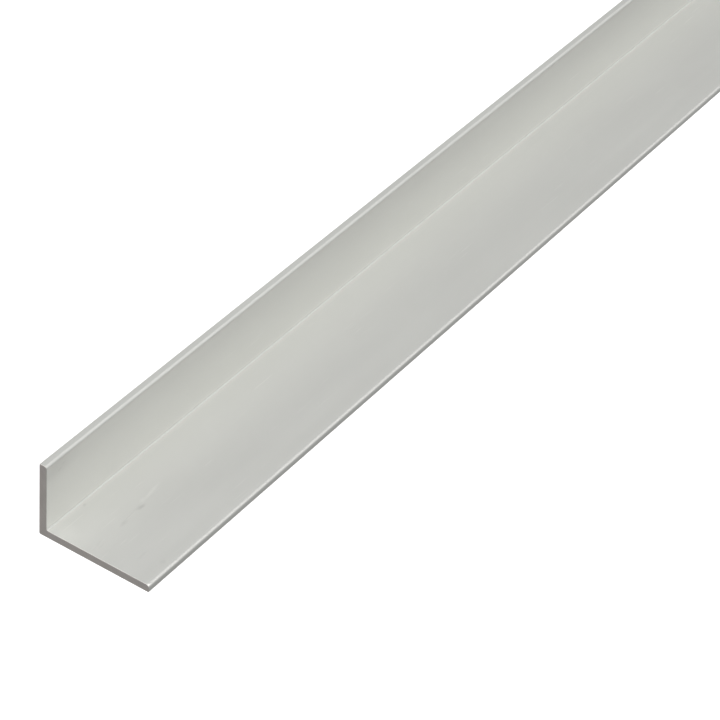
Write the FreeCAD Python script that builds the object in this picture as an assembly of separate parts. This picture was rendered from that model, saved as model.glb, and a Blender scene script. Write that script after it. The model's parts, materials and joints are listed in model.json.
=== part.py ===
import FreeCAD, Part
import os

# One length of unequal-leg angle section, extruded as one piece and sawn square at both ends.
# It lies on its wide leg. X runs along the wide leg, from the heel to its free edge, Y along the
# length, and Z up the narrow leg. The origin is on the floor, at the middle of the length and of
# the wide leg's width. All sizes are in millimetres.

Vector = FreeCAD.Vector

# Stock sizes
length = 1000.0
wide_leg = 30.0  # outside width of the lying leg
narrow_leg = 20.0  # outside height of the standing leg
wall = 2.0  # thickness of both legs

# Radii of the section's corners
heel_radius = 0.3  # outside corner where the legs meet
root_radius = 0.5  # inside corner where the legs meet
tip_inner_radius = 0.8  # free edge of each leg, on its inside face
tip_outer_radius = 0.2  # free edge of each leg, on its outside face

# A rounding takes at most this share of the wall, so a thin wall keeps a flat at its free edge
INNER_SHARE = 0.6
OUTER_SHARE = 0.3


def section_corners():
    """The section's corners in order round the outline, each with its x, its z and its radius."""
    inner = min(tip_inner_radius, wall * INNER_SHARE)
    outer = min(tip_outer_radius, wall * OUTER_SHARE)
    heel = -wide_leg / 2
    toe = wide_leg / 2
    return [
        (heel, 0.0, heel_radius),
        (toe, 0.0, outer),
        (toe, wall, inner),
        (heel + wall, wall, root_radius),
        (heel + wall, narrow_leg, inner),
        (heel, narrow_leg, outer),
    ]


def rounded_face(corners):
    """A flat face in the XZ plane whose square corners are rounded with tangent arcs."""
    arcs = []
    for index, (x, z, radius) in enumerate(corners):
        corner = Vector(x, 0, z)
        before = Vector(corners[index - 1][0], 0, corners[index - 1][1])
        after_x, after_z, _ = corners[(index + 1) % len(corners)]
        back = (before - corner).normalize()
        ahead = (Vector(after_x, 0, after_z) - corner).normalize()
        centre = corner + (back + ahead) * radius
        middle = centre - (back + ahead).normalize() * radius
        arcs.append(Part.Arc(corner + back * radius, middle, corner + ahead * radius).toShape())
    edges = []
    for index, arc in enumerate(arcs):
        run_start = arcs[index - 1].lastVertex().Point
        edges.append(Part.makeLine(run_start, arc.firstVertex().Point))
        edges.append(arc)
    return Part.Face(Part.Wire(edges))


def angle_section():
    """The section drawn at one sawn end and extruded along the length."""
    section = rounded_face(section_corners())
    section.translate(Vector(0, -length / 2, 0))
    return section.extrude(Vector(0, length, 0))


os.makedirs("parts", exist_ok=True)
angle_section().exportStep("parts/angle_section.step")
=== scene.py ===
import json
import math

import bpy
from mathutils import Matrix, Vector


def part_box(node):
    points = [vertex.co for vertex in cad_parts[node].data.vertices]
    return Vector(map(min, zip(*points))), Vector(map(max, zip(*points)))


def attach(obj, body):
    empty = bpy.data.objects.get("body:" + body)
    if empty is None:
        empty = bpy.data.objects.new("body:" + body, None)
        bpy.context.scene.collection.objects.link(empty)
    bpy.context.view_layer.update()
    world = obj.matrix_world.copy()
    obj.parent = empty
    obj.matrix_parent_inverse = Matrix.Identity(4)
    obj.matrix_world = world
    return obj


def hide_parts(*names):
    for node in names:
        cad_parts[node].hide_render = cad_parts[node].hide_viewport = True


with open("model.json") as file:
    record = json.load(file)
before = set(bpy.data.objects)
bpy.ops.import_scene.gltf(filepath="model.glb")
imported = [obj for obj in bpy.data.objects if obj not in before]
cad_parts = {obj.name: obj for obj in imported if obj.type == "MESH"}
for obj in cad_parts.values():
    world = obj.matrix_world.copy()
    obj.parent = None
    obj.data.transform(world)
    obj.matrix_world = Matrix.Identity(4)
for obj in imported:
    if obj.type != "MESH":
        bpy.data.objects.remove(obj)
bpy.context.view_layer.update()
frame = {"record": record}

# One length of satin anodised aluminium angle, lying on its wide leg, with its near sawn end
# towards the camera. Sizes are in metres. X runs along the wide leg from the heel to its free
# edge, which is the toe, Y along the length, and Z up the narrow leg to its top.

MM = 0.001
MICRON = 1e-6
low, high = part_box("angle_section")
near_end = low.y
heel = low.x
toe = high.x
top = high.z

# Sizes that the frame doesn't give
HEEL_RADIUS = 0.3 * MM
ROOT_RADIUS = 0.5 * MM
INNER_TIP_RADIUS = 0.8 * MM
OUTER_TIP_RADIUS = 0.2 * MM
ARC_STEPS = 10  # flats in each rounded corner
LENGTH_PIECES = 40  # short pieces keep the long faces from becoming slivers

# The file stroke that takes the burr off the rims of the sawn ends
EDGE_BREAK = 0.05 * MM
EDGE_BREAK_STEPS = 2
RIM_ANGLE = math.radians(60)  # only the rims turn more sharply than this
SAWN_SLOT = 1  # the sawn end comes after the skin among the piece's materials


def face_place(name):
    """Where the record says that one of the section's flat faces lies."""
    for mount in frame["record"]["mounts"]:
        if mount["name"] == name:
            return Vector(mount["pos_m"])


# The legs are equally thick, and each has one inside face
wide_face_z = face_place("wide_leg_inside").z
wall = wide_face_z - low.z
narrow_face_x = heel + wall


# Node helpers, for the section's tree and for the finishes


def add(tree, kind, inputs=None, **settings):
    """Adds a node. Inputs go by socket name or number, to a value or to another node's output."""
    node = tree.nodes.new(kind)
    for name, value in settings.items():
        setattr(node, name, value)
    for socket, value in (inputs or {}).items():
        if isinstance(value, bpy.types.NodeSocket):
            tree.links.new(value, node.inputs[socket])
        else:
            node.inputs[socket].default_value = value
    return node


def math_node(tree, operation, *values):
    """The output of one sum on sockets and numbers."""
    return add(tree, "ShaderNodeMath", dict(enumerate(values)), operation=operation).outputs[0]


def vector_node(tree, operation, *values):
    """The node of one sum on places, directions and colours."""
    return add(tree, "ShaderNodeVectorMath", dict(enumerate(values)), operation=operation)


# The extruded section


def by_corner(tree, kind, values):
    """Gives each of the outline's corners its own value."""
    switch = add(tree, "GeometryNodeIndexSwitch", data_type=kind)
    while len(switch.index_switch_items) < len(values):
        switch.index_switch_items.new()
    tree.links.new(add(tree, "GeometryNodeInputIndex").outputs[0], switch.inputs["Index"])
    for number, value in enumerate(values):
        tree.links.new(value, switch.inputs[str(number)])
    return switch.outputs[0]


def section_tree():
    """Draws the L-shaped section, rounds its corners and extrudes it along the length."""
    tree = bpy.data.node_groups.new("extruded angle", "GeometryNodeTree")
    for name in (
        "Length", "Wide leg", "Narrow leg", "Wall",
        "Heel radius", "Root radius", "Inner tip radius", "Outer tip radius",
    ):
        tree.interface.new_socket(name, in_out="INPUT", socket_type="NodeSocketFloat")
    for name in ("Arc steps", "Length pieces"):
        tree.interface.new_socket(name, in_out="INPUT", socket_type="NodeSocketInt")
    for name in ("Skin", "Sawn end"):
        tree.interface.new_socket(name, in_out="INPUT", socket_type="NodeSocketMaterial")
    tree.interface.new_socket("Angle", in_out="OUTPUT", socket_type="NodeSocketGeometry")
    size = add(tree, "NodeGroupInput").outputs

    # Corners go round from the heel: heel, toe below, toe above, root, top inside, top outside
    heel_x = math_node(tree, "MULTIPLY", size["Wide leg"], -0.5)
    toe_x = math_node(tree, "MULTIPLY", size["Wide leg"], 0.5)
    inside_x = math_node(tree, "ADD", heel_x, size["Wall"])
    corners = (
        (heel_x, 0.0, size["Heel radius"]),
        (toe_x, 0.0, size["Outer tip radius"]),
        (toe_x, size["Wall"], size["Inner tip radius"]),
        (inside_x, size["Wall"], size["Root radius"]),
        (inside_x, size["Narrow leg"], size["Inner tip radius"]),
        (heel_x, size["Narrow leg"], size["Outer tip radius"]),
    )
    places = []
    for across, up, _ in corners:
        places.append(add(tree, "ShaderNodeCombineXYZ", {"X": across, "Y": up}).outputs[0])
    radii = [radius for _, _, radius in corners]
    points = add(
        tree,
        "GeometryNodePoints",
        {"Count": len(corners), "Position": by_corner(tree, "VECTOR", places)},
    )
    open_outline = add(tree, "GeometryNodePointsToCurves", {"Points": points.outputs[0]})
    outline = add(
        tree,
        "GeometryNodeSetSplineCyclic",
        {"Geometry": open_outline.outputs[0], "Cyclic": True},
    )
    rounded = add(
        tree,
        "GeometryNodeFilletCurve",
        {
            "Curve": outline.outputs[0],
            "Count": size["Arc steps"],
            "Radius": by_corner(tree, "FLOAT", radii),
        },
        mode="POLY",
    )

    # The line that the section is swept along
    half = math_node(tree, "MULTIPLY", size["Length"], 0.5)
    back_half = math_node(tree, "MULTIPLY", size["Length"], -0.5)
    line = add(
        tree,
        "GeometryNodeCurvePrimitiveLine",
        {
            "Start": add(tree, "ShaderNodeCombineXYZ", {"Y": back_half}).outputs[0],
            "End": add(tree, "ShaderNodeCombineXYZ", {"Y": half}).outputs[0],
        },
    )
    path = add(
        tree,
        "GeometryNodeResampleCurve",
        {"Curve": line.outputs[0], "Count": math_node(tree, "ADD", size["Length pieces"], 1.0)},
    )
    swept = add(
        tree,
        "GeometryNodeCurveToMesh",
        {"Curve": path.outputs[0], "Profile Curve": rounded.outputs[0], "Fill Caps": True},
    )
    # The sweep leaves the narrow leg hanging down, so the section is rolled over
    upright = add(
        tree,
        "GeometryNodeTransform",
        {"Geometry": swept.outputs[0], "Rotation": (math.pi, 0.0, 0.0)},
    )
    smooth = add(tree, "GeometryNodeSetShadeSmooth", {"Geometry": upright.outputs[0]})
    real = add(tree, "GeometryNodeRealizeInstances", {"Geometry": smooth.outputs[0]})

    # The ends are the faces that look along the length
    normal = add(tree, "GeometryNodeInputNormal").outputs[0]
    along = add(tree, "ShaderNodeSeparateXYZ", {"Vector": normal}).outputs["Y"]
    is_end = math_node(tree, "GREATER_THAN", math_node(tree, "ABSOLUTE", along), 0.5)
    skin = add(
        tree,
        "GeometryNodeSetMaterial",
        {"Geometry": real.outputs[0], "Material": size["Skin"]},
    )
    ends = add(
        tree,
        "GeometryNodeSetMaterial",
        {"Geometry": skin.outputs[0], "Selection": is_end, "Material": size["Sawn end"]},
    )
    add(tree, "NodeGroupOutput", {"Angle": ends.outputs[0]})
    return tree


def make_angle(skin, sawn_end):
    """The whole section as one plain mesh, with the burr filed off the rims of its ends."""
    tree = section_tree()
    values = {
        "Length": high.y - low.y,
        "Wide leg": high.x - low.x,
        "Narrow leg": high.z - low.z,
        "Wall": wall,
        "Heel radius": HEEL_RADIUS,
        "Root radius": ROOT_RADIUS,
        "Inner tip radius": INNER_TIP_RADIUS,
        "Outer tip radius": OUTER_TIP_RADIUS,
        "Arc steps": ARC_STEPS,
        "Length pieces": LENGTH_PIECES,
        "Skin": skin,
        "Sawn end": sawn_end,
    }
    blank = bpy.data.meshes.new("blank")
    maker = bpy.data.objects.new("angle maker", blank)
    bpy.context.collection.objects.link(maker)
    sweep = maker.modifiers.new("sweep", "NODES")
    sweep.node_group = tree
    for item in tree.interface.items_tree:
        if item.in_out == "INPUT":
            sweep[item.identifier] = values[item.name]
    filed = maker.modifiers.new("filed rims", "BEVEL")
    filed.width = EDGE_BREAK
    filed.segments = EDGE_BREAK_STEPS
    filed.limit_method = "ANGLE"
    filed.angle_limit = RIM_ANGLE
    filed.use_clamp_overlap = False
    filed.material = SAWN_SLOT
    flats = maker.modifiers.new("true flats", "WEIGHTED_NORMAL")
    flats.keep_sharp = True
    shown = maker.evaluated_get(bpy.context.evaluated_depsgraph_get())
    mesh = bpy.data.meshes.new_from_object(shown)
    bpy.data.objects.remove(maker)
    mesh.name = "angle"
    angle = bpy.data.objects.new("angle", mesh)
    bpy.context.collection.objects.link(angle)
    return angle


# Finishes

# How the skin and the sawn ends look when nothing has marked them
SKIN_COLOUR = (0.672, 0.675, 0.65)
SKIN_ROUGHNESS = 0.6
SAWN_COLOUR = (0.605, 0.571, 0.543)
SAWN_ROUGHNESS = 0.5

# Bands along the whole length. Each has the x and the z of its middle and its reach, and then
# what it adds to the brightness and to the roughness. Etching leaves the inside roundings and the
# root rougher, and painted shade darkens them to dim their highlights. Painted highlights lie
# beside the root and on the toe's face, and handling polishes the sharp outside corners.
EDGE_WEAR_AND_PAINTED_LIGHT = {
    # Painted shade that dims the highlights of the inside roundings and the root
    "painted shade on the toe's rounding": (toe - 0.4 * MM, wide_face_z, 0.5 * MM, -0.15, 0.05),
    "painted shade on the top's rounding": (narrow_face_x, top, 1.0 * MM, -0.15, 0.05),
    "painted shade in the root": (narrow_face_x, wide_face_z, 0.6 * MM, -0.3, 0.1),
    # Painted highlights beside the root and on the toe's face
    "painted highlight beside the root": (narrow_face_x, wide_face_z, 1.6 * MM, 0.065, 0.0),
    "painted highlight on the toe's face": (toe, low.z + 1.3 * MM, 0.8 * MM, 0.06, 0.0),
    "polished heel": (heel, low.z, 0.35 * MM, 0.08, -0.15),
    "polished lower corner of the toe": (toe, low.z, 0.3 * MM, 0.08, -0.15),
    "polished outer corner of the top": (heel, top, 0.3 * MM, 0.08, -0.15),
}

# The toe's upper corner at the near end, which handling has polished most and which carries a
# painted glint
TOE_CORNER_INSET = 0.2 * MM
TOE_CORNER = Vector((toe - TOE_CORNER_INSET, near_end, wide_face_z - TOE_CORNER_INSET))
TOE_CORNER_REACH = 0.9 * MM
TOE_CORNER_POLISH_AND_GLINT = 0.25

# Marks on the wide leg's inside face. Each goes from one place to another, given in mm from the
# heel and from the near end. Then come its width in mm, what it adds to the brightness and to the
# roughness, and its height in microns.
WIDE_LEG_MARKS = {
    "slanting scratch": ((13.7, 9.5), (12.0, 24.0), 0.3, -0.03, 0.03, -6),
    "nick": ((13.1, 16.9), (13.4, 20.9), 0.68, -0.125, 0.08, -10),
    "burr beside the nick": ((12.4, 19.3), (11.7, 22.3), 0.75, 0.04, -0.03, 3),
    "bare streak": ((12.7, 18.9), (11.2, 29.2), 0.65, 0.075, -0.05, -14),
    "smudge": ((13.7, 10.4), (13.4, 14.4), 0.8, -0.055, 0.06, -5),
    "spot by the root": ((3.2, 10.9), (3.2, 12.5), 0.6, -0.07, 0.05, -6),
    "faint streak": ((13.7, 1.0), (13.2, 5.8), 0.35, -0.04, 0.03, -5),
    "second faint streak": ((14.6, 1.9), (14.2, 4.9), 0.3, -0.03, 0.02, -4),
    "short rub": ((23.2, 4.2), (22.9, 9.2), 0.5, -0.03, 0.02, -2),
    "grey blot": ((27.6, 6.6), (28.0, 9.0), 0.9, -0.045, 0.02, 0),
    # A painted patch of glare by the root at the near end
    "painted glare by the root": ((2.6, -1.0), (9.0, 4.2), 5.5, 0.045, -0.02, 0),
}

# Marks on the narrow leg's inside face, in mm above the floor and from the near end
NARROW_LEG_MARKS = {
    "rub": ((16.2, 3.6), (16.8, 5.3), 0.5, -0.04, 0.03, -4),
    "second rub": ((17.3, 4.9), (17.7, 6.8), 0.45, -0.04, 0.03, -4),
    "dull patch": ((18.2, -6.0), (17.6, 13.0), 4.5, -0.055, 0.02, 0),
}

MARK_REACH = 0.8 * MM  # how deep into the metal a mark's pattern goes
MARK_FRAY = 0.3 * MM  # how wide the band is that a mark's outline wanders in
FRAY_SIZE = 0.9 * MM  # how far apart the wanders are

# Where the saw blade's centre was when it left the end, how far apart its teeth's arcs are, and
# how far they stray from their circles
BLADE_CENTRE = Vector((heel + 118 * MM, 0.0, 96 * MM))
TOOTH_PITCH = 0.32 * MM
ARC_STRAY = 0.1 * MM


def new_finish(name):
    """An empty metal with its shader and output, and the piece's own coordinates."""
    material = bpy.data.materials.new(name)
    material.use_nodes = True
    tree = material.node_tree
    tree.nodes.clear()
    shader = add(tree, "ShaderNodeBsdfPrincipled", {"Metallic": 1.0})
    add(tree, "ShaderNodeOutputMaterial", {"Surface": shader.outputs[0]})
    place = add(tree, "ShaderNodeTexCoord").outputs["Object"]
    return material, tree, shader, place


def dress(tree, shader, colour, bright, rough, height):
    """Gives a metal its tint, its roughness and its relief, which has a height in microns."""
    tint = add(
        tree,
        "ShaderNodeVectorMath",
        {0: colour, "Scale": bright},
        operation="SCALE",
    )
    bump = add(tree, "ShaderNodeBump", {"Height": height, "Distance": MICRON})
    tree.links.new(tint.outputs[0], shader.inputs["Base Color"])
    tree.links.new(rough, shader.inputs["Roughness"])
    tree.links.new(bump.outputs[0], shader.inputs["Normal"])


def mixed(tree, start, *patterns):
    """A starting value, plus each pattern times its strength."""
    for pattern, strength in patterns:
        start = math_node(tree, "MULTIPLY_ADD", pattern, strength, start)
    return start


def grain(tree, place, across, along, detail=2.0):
    """Uneven marks of this width and length, from -1 to 1 and mostly near 0."""
    scale = (1 / across, 1 / along, 1 / across)
    spread = add(tree, "ShaderNodeMapping", {"Vector": place, "Scale": scale}).outputs[0]
    noise = add(tree, "ShaderNodeTexNoise", {"Vector": spread, "Scale": 1.0, "Detail": detail})
    return math_node(tree, "MULTIPLY_ADD", noise.outputs["Fac"], 2.0, -1.0)


def over(tree, value, low_end, high_end):
    """0 where a value is below the low end, 1 above the high end, and smooth in between."""
    return add(
        tree,
        "ShaderNodeMapRange",
        {"Value": value, "From Min": low_end, "From Max": high_end},
        interpolation_type="SMOOTHSTEP",
    ).outputs[0]


def near(tree, gap, reach):
    """1 at no distance, fading to 0 at the reach."""
    return math_node(tree, "SUBTRACT", 1.0, over(tree, gap, 0.0, reach))


def distance(tree, place, point):
    """How far a place is from a point."""
    return vector_node(tree, "DISTANCE", place, point).outputs["Value"]


def across_section(tree, place):
    """A place as the section shows it, without its position along the length."""
    return vector_node(tree, "MULTIPLY", place, (1.0, 0.0, 1.0)).outputs[0]


def near_line(tree, place, x, z, reach):
    """1 at a line that runs along the whole length, fading to 0 at the reach."""
    return near(tree, distance(tree, across_section(tree, place), (x, 0.0, z)), reach)


def mark(tree, place, start, end, facing, width):
    """1 at the middle of a long narrow mark on a face, fading to 0 at its sides and its tips."""
    along = (end - start).normalized()
    turn = Matrix((along.cross(facing), along, facing)).transposed()
    around = add(
        tree,
        "ShaderNodeMapping",
        {
            "Vector": place,
            "Location": (start + end) / 2,
            "Rotation": turn.to_euler(),
            "Scale": (width, (end - start).length / 2, MARK_REACH),
        },
        vector_type="TEXTURE",
    )
    gap = vector_node(tree, "LENGTH", around.outputs[0]).outputs["Value"]
    return near(tree, gap, 1.0)


def all_marks():
    """Each mark's two ends and the way that its face looks, and then its width and its look."""
    for start, end, width, *look in WIDE_LEG_MARKS.values():
        ends = [Vector((heel + x * MM, near_end + y * MM, wide_face_z)) for x, y in (start, end)]
        yield *ends, Vector((0, 0, 1)), width * MM, *look
    for start, end, width, *look in NARROW_LEG_MARKS.values():
        ends = [Vector((narrow_face_x, near_end + y * MM, z * MM)) for z, y in (start, end)]
        yield *ends, Vector((1, 0, 0)), width * MM, *look


def frayed(tree, place):
    """A place that strays a little to all sides, which gives what is drawn on it ragged edges."""
    noise = add(
        tree,
        "ShaderNodeTexNoise",
        {"Vector": place, "Scale": 1 / FRAY_SIZE, "Detail": 3.0},
    )
    stray = vector_node(tree, "MULTIPLY_ADD", noise.outputs["Color"], (MARK_FRAY,) * 3, place)
    return vector_node(tree, "ADD", stray.outputs[0], (-MARK_FRAY / 2,) * 3).outputs[0]


def satin_anodised():
    """Etched and anodised skin: die lines, a fine grain, clouding, rubs and the photo's scuffs,
    with painted shade and highlights along its edges, a painted glint and a painted patch of
    glare.
    """
    material, tree, shader, place = new_finish("satin anodised skin")

    # Lines that the die left along the length, and the etched grain over them
    broad_lines = grain(tree, place, across=1.3 * MM, along=160 * MM)
    fine_lines = grain(tree, place, across=0.16 * MM, along=45 * MM)
    etch = grain(tree, place, across=0.11 * MM, along=0.13 * MM)
    clouds = grain(tree, place, across=9 * MM, along=38 * MM, detail=3.0)
    streaks = grain(tree, place, across=0.45 * MM, along=11 * MM, detail=1.0)
    rubs = over(tree, streaks, low_end=0.38, high_end=0.62)
    dots = grain(tree, place, across=0.5 * MM, along=0.9 * MM, detail=1.0)
    specks = over(tree, dots, low_end=0.62, high_end=0.75)
    bright = mixed(
        tree,
        1.0,
        (broad_lines, 0.012),
        (fine_lines, 0.02),
        (clouds, 0.018),
        (rubs, 0.03),
        (specks, -0.05),
    )
    rough = mixed(
        tree,
        SKIN_ROUGHNESS,
        (broad_lines, 0.02),
        (fine_lines, 0.04),
        (clouds, 0.03),
        (rubs, -0.06),
    )
    height = mixed(tree, 0.0, (broad_lines, 1.5), (fine_lines, 1.2), (etch, 2.5), (rubs, -1.0))

    # Painted shade and painted highlights along the edges, and the real polish of the outside
    # corners
    for x, z, reach, lighter, rougher in EDGE_WEAR_AND_PAINTED_LIGHT.values():
        band = near_line(tree, place, x, z, reach)
        bright = mixed(tree, bright, (band, lighter))
        rough = mixed(tree, rough, (band, rougher))
    # The corner's real polish makes it smoother, and its brightening is a painted glint
    polish_and_glint = near(tree, distance(tree, place, TOE_CORNER), TOE_CORNER_REACH)
    bright = mixed(tree, bright, (polish_and_glint, TOE_CORNER_POLISH_AND_GLINT))
    rough = mixed(tree, rough, (polish_and_glint, -TOE_CORNER_POLISH_AND_GLINT))

    # The scuffs of the photo and a painted patch of glare, which the skin's own grain breaks up
    ragged = frayed(tree, place)
    uneven = mixed(tree, 1.0, (etch, 0.5), (fine_lines, 0.5))
    for start, end, facing, width, lighter, rougher, raised in all_marks():
        spot = mark(tree, ragged, start, end, facing, width)
        spot = math_node(tree, "MULTIPLY", spot, uneven)
        bright = mixed(tree, bright, (spot, lighter))
        rough = mixed(tree, rough, (spot, rougher))
        height = mixed(tree, height, (spot, raised))

    dress(tree, shader, SKIN_COLOUR, bright, rough, height)
    return material


def sawn_aluminium():
    """Bare metal with the arcs of the saw's teeth across it, and a brighter filed rim."""
    material, tree, shader, place = new_finish("bare sawn end")
    from_blade = distance(tree, across_section(tree, place), BLADE_CENTRE)
    wander = grain(tree, place, across=3 * MM, along=3 * MM, detail=1.0)
    strayed = mixed(tree, from_blade, (wander, ARC_STRAY))
    teeth = add(
        tree,
        "ShaderNodeTexNoise",
        {
            "W": math_node(tree, "MULTIPLY", strayed, 1 / TOOTH_PITCH),
            "Scale": 1.0,
            "Detail": 3.0,
            "Roughness": 0.7,
        },
        noise_dimensions="1D",
    )
    arcs = math_node(tree, "MULTIPLY_ADD", teeth.outputs["Fac"], 2.0, -1.0)
    patches = grain(tree, place, across=2.2 * MM, along=2.2 * MM)
    pits = grain(tree, place, across=0.12 * MM, along=0.12 * MM)

    # The rim lies between the end's flat and where the skin begins
    inwards = add(tree, "ShaderNodeSeparateXYZ", {"Vector": place}).outputs["Y"]
    from_end = math_node(tree, "SUBTRACT", high.y, math_node(tree, "ABSOLUTE", inwards))
    rim = over(tree, from_end, low_end=0.1 * EDGE_BREAK, high_end=0.6 * EDGE_BREAK)

    bright = mixed(tree, 1.0, (arcs, 0.12), (patches, 0.05), (pits, 0.05), (rim, 0.1))
    rough = mixed(tree, SAWN_ROUGHNESS, (arcs, 0.08), (patches, 0.05), (rim, -0.05))
    height = mixed(tree, 0.0, (arcs, 4.0), (pits, 1.5))
    dress(tree, shader, SAWN_COLOUR, bright, rough, height)
    return material


# Camera, floor and lights

# Directions go by degrees round from the -Y side towards +X, and degrees up from level
CAMERA_AZIMUTH = 31.27
CAMERA_ELEVATION = 38.45
CAMERA_ROLL = 5.09
CAMERA_DISTANCE = 0.6944
CAMERA_AIM = Vector((5.02 * MM, near_end + 94.45 * MM, 0.0))
CAMERA_LENS = 147.0  # mm
SENSOR_WIDTH = 36.0  # mm
NEAREST_SEEN = 0.01
FARTHEST_SEEN = 50.0

FLOOR_SIDE = 40.0  # wide enough to reach past the top of a low view
FLOOR_GAP = 0.02 * MM
FLOOR_WHITE = (0.9, 0.9, 0.9, 1.0)
FLOOR_ROUGHNESS = 0.9
FLOOR_GLOW = 0.45  # the floor is lit from below too, as on a white shooting table
BOARD_GAP = 0.5 * MM
BOARD_BRIGHTNESS = 0.31

# The softboxes stand round the middle of what the camera sees
LIT_PLACE = Vector((0.0, near_end + 100 * MM, 0.0))
SOFTBOX_DISTANCE = 1.6
WORLD_BRIGHTNESS = 0.57
WHITE = (1.0, 1.0, 1.0, 1.0)


def outwards(azimuth, elevation):
    """The direction of this azimuth and elevation."""
    azimuth = math.radians(azimuth)
    elevation = math.radians(elevation)
    return Vector((
        math.sin(azimuth) * math.cos(elevation),
        -math.cos(azimuth) * math.cos(elevation),
        math.sin(elevation),
    ))


def aimed(name, data, aim, out, reach, roll=0.0):
    """A camera or a light that faces its aim from this far out."""
    turn = (-out).to_track_quat("-Z", "Y").to_matrix() @ Matrix.Rotation(roll, 3, "Z")
    thing = bpy.data.objects.new(name, data)
    thing.matrix_world = Matrix.Translation(aim + out * reach) @ turn.to_4x4()
    bpy.context.collection.objects.link(thing)
    return thing


def make_camera():
    """The photo's camera, worked out from the sawn end and the long edges that it shows."""
    data = bpy.data.cameras.new("camera")
    data.lens = CAMERA_LENS
    data.sensor_width = SENSOR_WIDTH
    data.clip_start = NEAREST_SEEN
    data.clip_end = FARTHEST_SEEN
    out = outwards(CAMERA_AZIMUTH, CAMERA_ELEVATION)
    roll = math.radians(CAMERA_ROLL)
    bpy.context.scene.camera = aimed("camera", data, CAMERA_AIM, out, CAMERA_DISTANCE, roll)


def flat_sheet(name, side, height):
    """A square flat sheet that is part of the stage."""
    half = side / 2
    corners = ((-half, -half), (half, -half), (half, half), (-half, half))
    mesh = bpy.data.meshes.new(name)
    mesh.from_pydata([(x, y, height) for x, y in corners], [], [(0, 1, 2, 3)])
    sheet = bpy.data.objects.new(name, mesh)
    bpy.context.collection.objects.link(sheet)
    return sheet


def make_floor():
    """A white floor, and under it a darker board that only reflections see."""
    floor = flat_sheet("floor", FLOOR_SIDE, low.z - FLOOR_GAP)
    material = bpy.data.materials.new("white floor")
    material.use_nodes = True
    shader = material.node_tree.nodes["Principled BSDF"]
    shader.inputs["Base Color"].default_value = FLOOR_WHITE
    shader.inputs["Roughness"].default_value = FLOOR_ROUGHNESS
    shader.inputs["Emission Color"].default_value = WHITE
    shader.inputs["Emission Strength"].default_value = FLOOR_GLOW
    floor.data.materials.append(material)
    floor.visible_glossy = False

    board = flat_sheet("grey board", FLOOR_SIDE, low.z - BOARD_GAP)
    material = bpy.data.materials.new("grey board")
    material.use_nodes = True
    tree = material.node_tree
    tree.nodes.clear()
    glow = add(tree, "ShaderNodeEmission", {"Strength": BOARD_BRIGHTNESS})
    add(tree, "ShaderNodeOutputMaterial", {"Surface": glow.outputs[0]})
    board.data.materials.append(material)
    board.visible_camera = False
    board.visible_diffuse = False
    board.visible_shadow = False


def softbox(name, azimuth, elevation, width, depth, brightness):
    """A soft light at the softboxes' distance from the lit place, facing it."""
    data = bpy.data.lights.new(name, "AREA")
    data.shape = "RECTANGLE"
    data.size = width
    data.size_y = depth
    data.energy = math.pi * width * depth * brightness
    aimed(name, data, LIT_PLACE, outwards(azimuth, elevation), SOFTBOX_DISTANCE)


def make_lights():
    """Four softboxes in a pale room."""
    softbox("key softbox", 138, 38, width=1.0, depth=0.7, brightness=2.16)
    softbox("overhead softbox", 90, 85, width=1.2, depth=1.6, brightness=0.94)
    softbox("front softbox", -18, 26, width=1.7, depth=1.1, brightness=2.66)
    softbox("side softbox", 87, 38, width=1.0, depth=1.1, brightness=2.6)
    world = bpy.data.worlds.new("studio")
    world.use_nodes = True
    background = world.node_tree.nodes["Background"]
    background.inputs["Color"].default_value = WHITE
    background.inputs["Strength"].default_value = WORLD_BRIGHTNESS
    bpy.context.scene.world = world


make_camera()
angle = make_angle(satin_anodised(), sawn_aluminium())
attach(angle, "root")
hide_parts("angle_section")
make_floor()
make_lights()
bpy.context.scene.view_settings.view_transform = "Standard"
